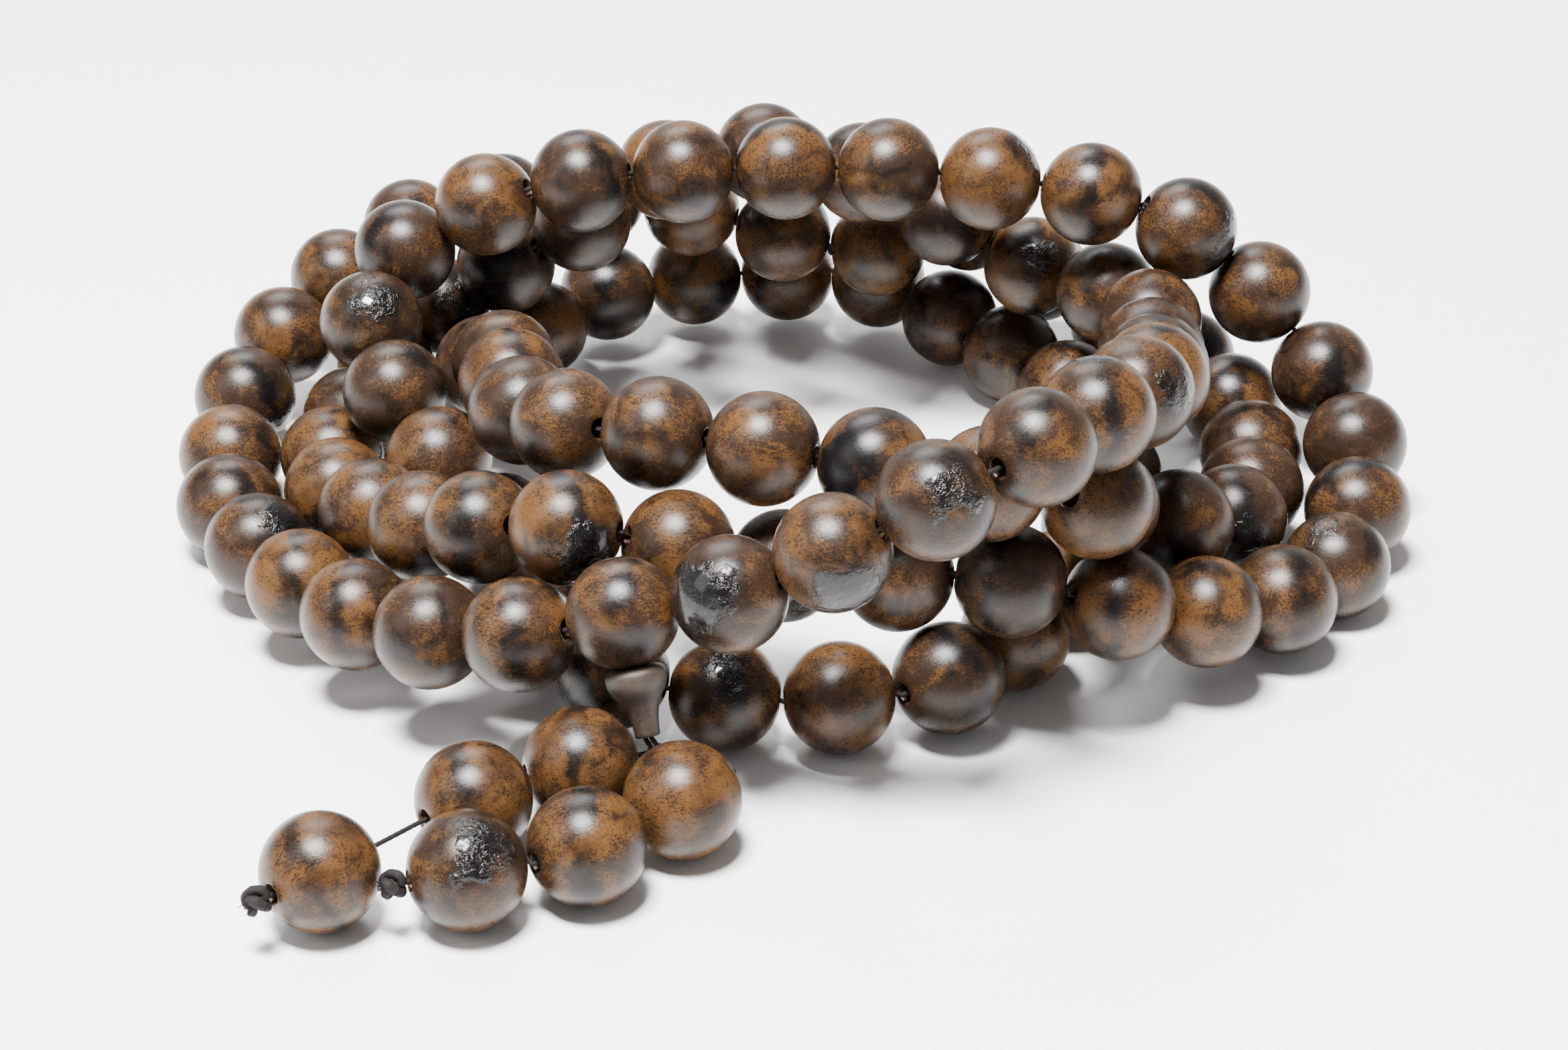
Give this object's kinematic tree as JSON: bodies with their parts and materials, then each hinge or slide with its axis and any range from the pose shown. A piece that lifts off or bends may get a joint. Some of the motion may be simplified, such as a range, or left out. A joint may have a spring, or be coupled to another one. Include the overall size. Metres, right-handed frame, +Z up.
{
  "type": "mala prayer beads",
  "caption": "Closed strand of turned wooden prayer beads on a cord, laid in a coiled pile, with a guru bead, a small tower and two knotted tails of counter beads.",
  "frame": {"origin": "on the table, under the middle of the coiled pile", "axes": "+Z up from the table, -Y towards the guru bead and the two tails, +X to the right of someone facing the guru bead"},
  "size_m": [0.1405, 0.1415, 0.0448],
  "materials": {
    "bead_wood": "polished, speckled golden brown with dark resin bands",
    "guru_wood": "polished, speckled brown with a dark band",
    "counter_wood": "polished, speckled golden brown",
    "tower_wood": "satin dark brown",
    "cord": "braided, waxed",
    "knot": "tight knot of braided cord"
  },
  "bodies": {
    "strand": {"guru_bead": "guru_wood", "guru_tower": "tower_wood", "beads_007_to_009": "bead_wood", "beads_010_to_012": "bead_wood", "beads_013_to_015": "bead_wood", "beads_016_to_018": "bead_wood", "beads_019_to_021": "bead_wood", "beads_022_to_024": "bead_wood", "beads_025_to_027": "bead_wood", "beads_028_to_030": "bead_wood", "beads_031_to_033": "bead_wood", "beads_034_to_036": "bead_wood", "beads_037_to_039": "bead_wood", "beads_040_to_042": "bead_wood", "beads_043_to_045": "bead_wood", "beads_046_to_048": "bead_wood", "beads_049_to_051": "bead_wood", "beads_052_to_054": "bead_wood", "beads_055_to_057": "bead_wood", "beads_058_to_060": "bead_wood", "beads_061_to_063": "bead_wood", "beads_064_to_066": "bead_wood", "beads_067_to_069": "bead_wood", "beads_070_to_072": "bead_wood", "beads_073_to_075": "bead_wood", "beads_076_to_078": "bead_wood", "beads_079_to_081": "bead_wood", "beads_082_to_084": "bead_wood", "beads_085_to_087": "bead_wood", "beads_088_to_090": "bead_wood", "beads_091_to_093": "bead_wood", "beads_094_to_096": "bead_wood", "beads_097_to_099": "bead_wood", "beads_100_to_102": "bead_wood", "main_cord": "cord", "string_a": "cord", "string_b": "cord", "knot_a": "knot", "knot_b": "knot"},
    "loose_bead_001": {"bead_001": "bead_wood"},
    "loose_bead_002": {"bead_002": "bead_wood"},
    "loose_bead_003": {"bead_003": "bead_wood"},
    "loose_bead_004": {"bead_004": "bead_wood"},
    "loose_bead_005": {"bead_005": "bead_wood"},
    "loose_bead_006": {"bead_006": "bead_wood"},
    "loose_bead_103": {"bead_103": "bead_wood"},
    "loose_bead_104": {"bead_104": "bead_wood"},
    "loose_bead_105": {"bead_105": "bead_wood"},
    "loose_bead_106": {"bead_106": "bead_wood"},
    "loose_bead_107": {"bead_107": "bead_wood"},
    "loose_bead_108": {"bead_108": "bead_wood"},
    "counter_bead_a1_body": {"counter_bead_a1": "counter_wood"},
    "counter_bead_a2_body": {"counter_bead_a2": "counter_wood"},
    "counter_bead_a3_body": {"counter_bead_a3": "counter_wood"},
    "counter_bead_b1_body": {"counter_bead_b1": "counter_wood"},
    "counter_bead_b2_body": {"counter_bead_b2": "counter_wood"},
    "counter_bead_b3_body": {"counter_bead_b3": "counter_wood"}
  },
  "joints": [
    {"name": "loose_bead_001_spin", "type": "hinge", "parent": "strand", "child": "loose_bead_001", "pos_m": [-0.02709, -0.03721, 0.01574], "axis": [-0.8722, 0.3616, -0.3295], "continuous": true},
    {"name": "loose_bead_002_spin", "type": "hinge", "parent": "strand", "child": "loose_bead_002", "pos_m": [-0.0367, -0.03127, 0.01248], "axis": [-0.7713, 0.5886, -0.242], "continuous": true},
    {"name": "loose_bead_003_spin", "type": "hinge", "parent": "strand", "child": "loose_bead_003", "pos_m": [-0.04521, -0.02355, 0.00998], "axis": [-0.6588, 0.7307, -0.1788], "continuous": true},
    {"name": "loose_bead_004_spin", "type": "hinge", "parent": "strand", "child": "loose_bead_004", "pos_m": [-0.05218, -0.01425, 0.00824], "axis": [-0.5419, 0.8314, -0.1233], "continuous": true},
    {"name": "loose_bead_005_spin", "type": "hinge", "parent": "strand", "child": "loose_bead_005", "pos_m": [-0.05803, -0.00412, 0.007], "axis": [-0.4566, 0.8842, -0.099], "continuous": true},
    {"name": "loose_bead_006_spin", "type": "hinge", "parent": "strand", "child": "loose_bead_006", "pos_m": [-0.06264, 0.00665, 0.006], "axis": [-0.2604, 0.9644, -0.046], "continuous": true},
    {"name": "loose_bead_103_spin", "type": "hinge", "parent": "strand", "child": "loose_bead_103", "pos_m": [0.03545, -0.0203, 0.03442], "axis": [-0.328, -0.8965, 0.2977], "continuous": true},
    {"name": "loose_bead_104_spin", "type": "hinge", "parent": "strand", "child": "loose_bead_104", "pos_m": [0.03056, -0.03059, 0.03733], "axis": [-0.4694, -0.8586, 0.2059], "continuous": true},
    {"name": "loose_bead_105_spin", "type": "hinge", "parent": "strand", "child": "loose_bead_105", "pos_m": [0.024, -0.04023, 0.03882], "axis": [-0.7174, -0.6959, -0.0334], "continuous": true},
    {"name": "loose_bead_106_spin", "type": "hinge", "parent": "strand", "child": "loose_bead_106", "pos_m": [0.01404, -0.04586, 0.03613], "axis": [-0.885, -0.1763, -0.431], "continuous": true},
    {"name": "loose_bead_107_spin", "type": "hinge", "parent": "strand", "child": "loose_bead_107", "pos_m": [0.00423, -0.04482, 0.02973], "axis": [-0.822, 0.1609, -0.5462], "continuous": true},
    {"name": "loose_bead_108_spin", "type": "hinge", "parent": "strand", "child": "loose_bead_108", "pos_m": [-0.00581, -0.04292, 0.02391], "axis": [-0.8873, 0.2122, -0.4095], "continuous": true},
    {"name": "counter_bead_a1_body_spin", "type": "hinge", "parent": "strand", "child": "counter_bead_a1_body", "pos_m": [-0.02075, -0.046, 0.00595], "axis": [-0.9536, -0.3011, 0], "continuous": true},
    {"name": "counter_bead_a2_body_spin", "type": "hinge", "parent": "strand", "child": "counter_bead_a2_body", "pos_m": [-0.031, -0.05225, 0.00595], "axis": [-0.792, -0.6105, 0], "continuous": true},
    {"name": "counter_bead_a3_body_spin", "type": "hinge", "parent": "strand", "child": "counter_bead_a3_body", "pos_m": [-0.04475, -0.0645, 0.00595], "axis": [-0.7467, -0.6652, 0], "continuous": true},
    {"name": "counter_bead_b1_body_spin", "type": "hinge", "parent": "strand", "child": "counter_bead_b1_body", "pos_m": [-0.0105, -0.05225, 0.00595], "axis": [-0.8, -0.6, 0], "continuous": true},
    {"name": "counter_bead_b2_body_spin", "type": "hinge", "parent": "strand", "child": "counter_bead_b2_body", "pos_m": [-0.0195, -0.06025, 0.00595], "axis": [-0.8603, -0.5098, 0], "continuous": true},
    {"name": "counter_bead_b3_body_spin", "type": "hinge", "parent": "strand", "child": "counter_bead_b3_body", "pos_m": [-0.03075, -0.06425, 0.00595], "axis": [-0.9422, -0.335, 0], "continuous": true}
  ]
}
